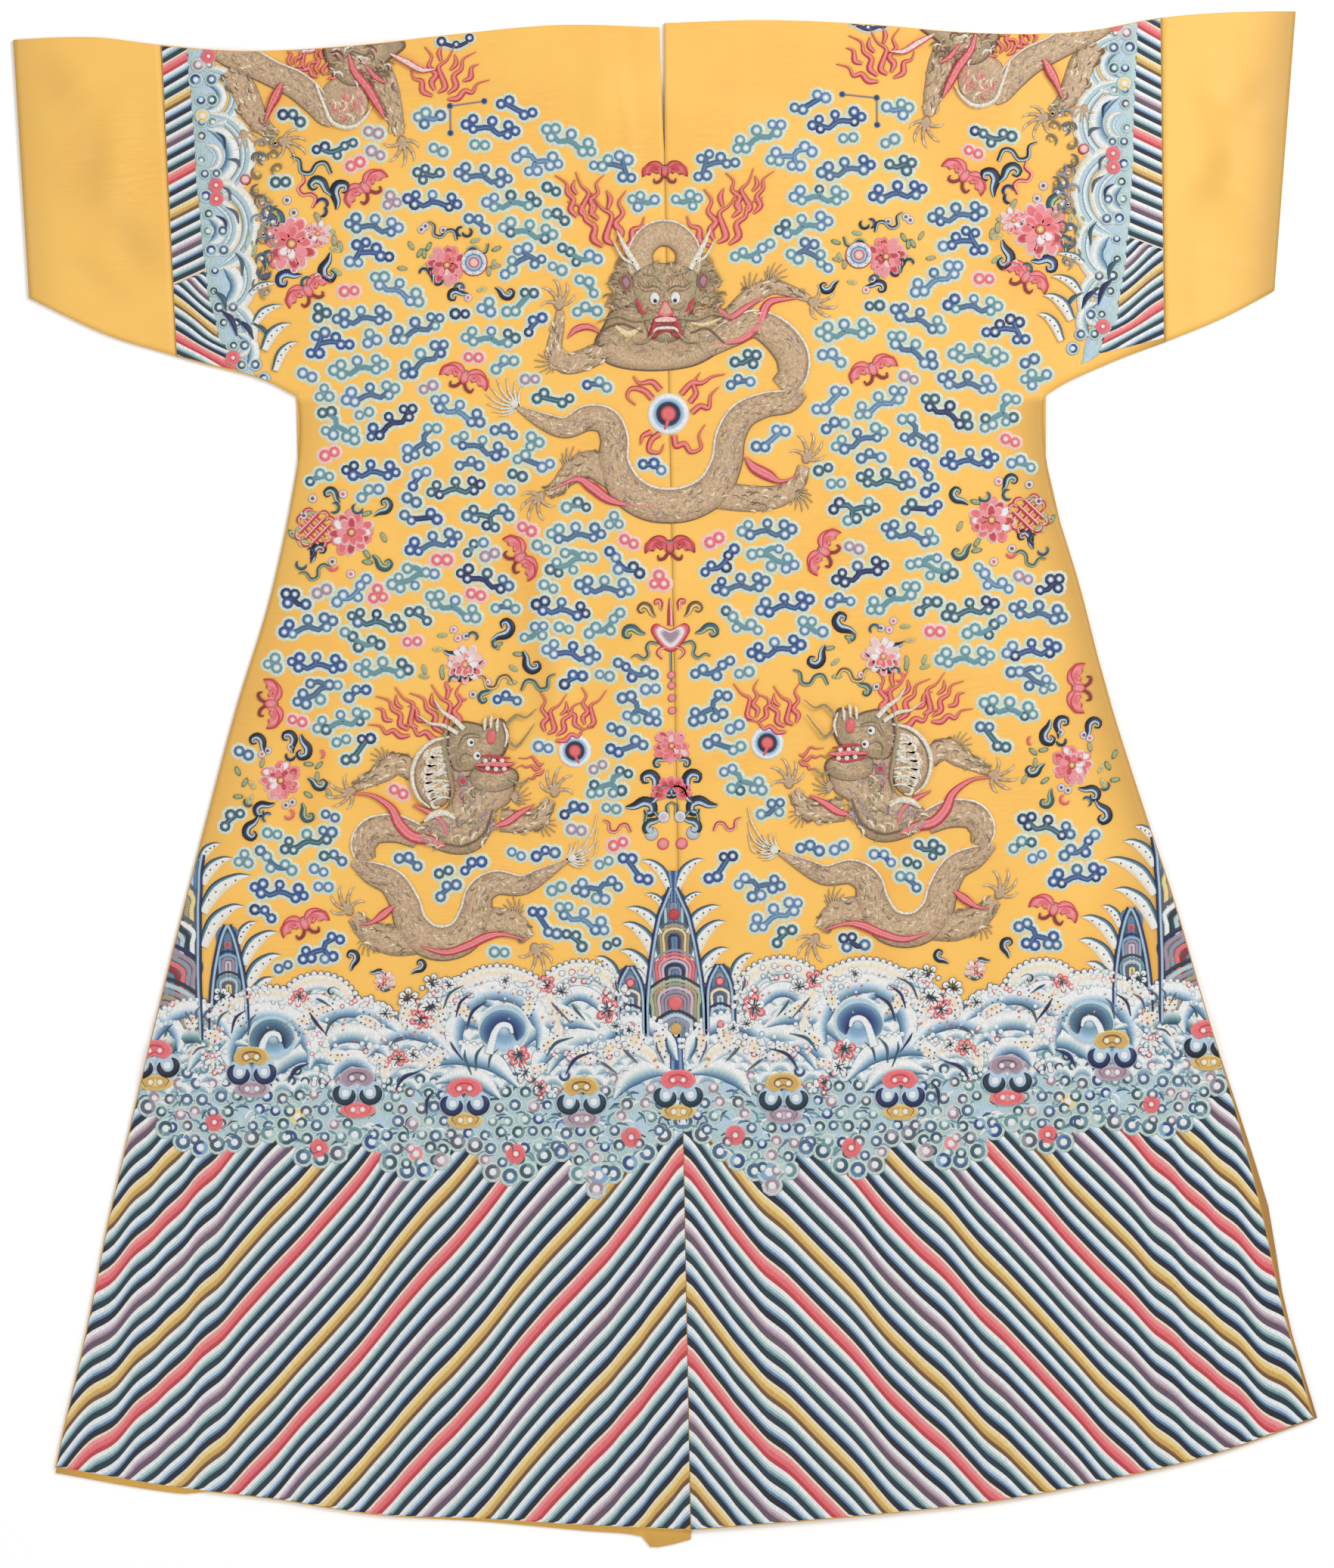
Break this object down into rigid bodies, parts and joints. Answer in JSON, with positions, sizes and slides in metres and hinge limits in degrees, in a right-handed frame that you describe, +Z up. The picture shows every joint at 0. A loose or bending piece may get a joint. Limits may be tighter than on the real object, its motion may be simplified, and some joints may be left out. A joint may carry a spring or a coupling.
{
  "type": "chinese dragon robe",
  "caption": "Wide-sleeved silk robe, uncut at the neck, spread flat with its back up: dragons, clouds and bats over waves and a striped hem.",
  "frame": {"origin": "on the surface that the robe lies on, under the middle of its outline", "axes": "+X across the robe to the wearer's right, +Y up the garment towards the shoulders, +Z up from the surface"},
  "size_m": [1.2326, 1.466, 0.0101],
  "materials": {
    "embroidered_silk": "satin silk with floss embroidery",
    "plain_silk": "plain satin silk"
  },
  "bodies": {
    "root": {"left_length": "embroidered_silk", "right_length": "embroidered_silk", "front_overlap": "embroidered_silk", "left_sleeve_end": "plain_silk", "right_sleeve_end": "plain_silk"}
  },
  "joints": []
}
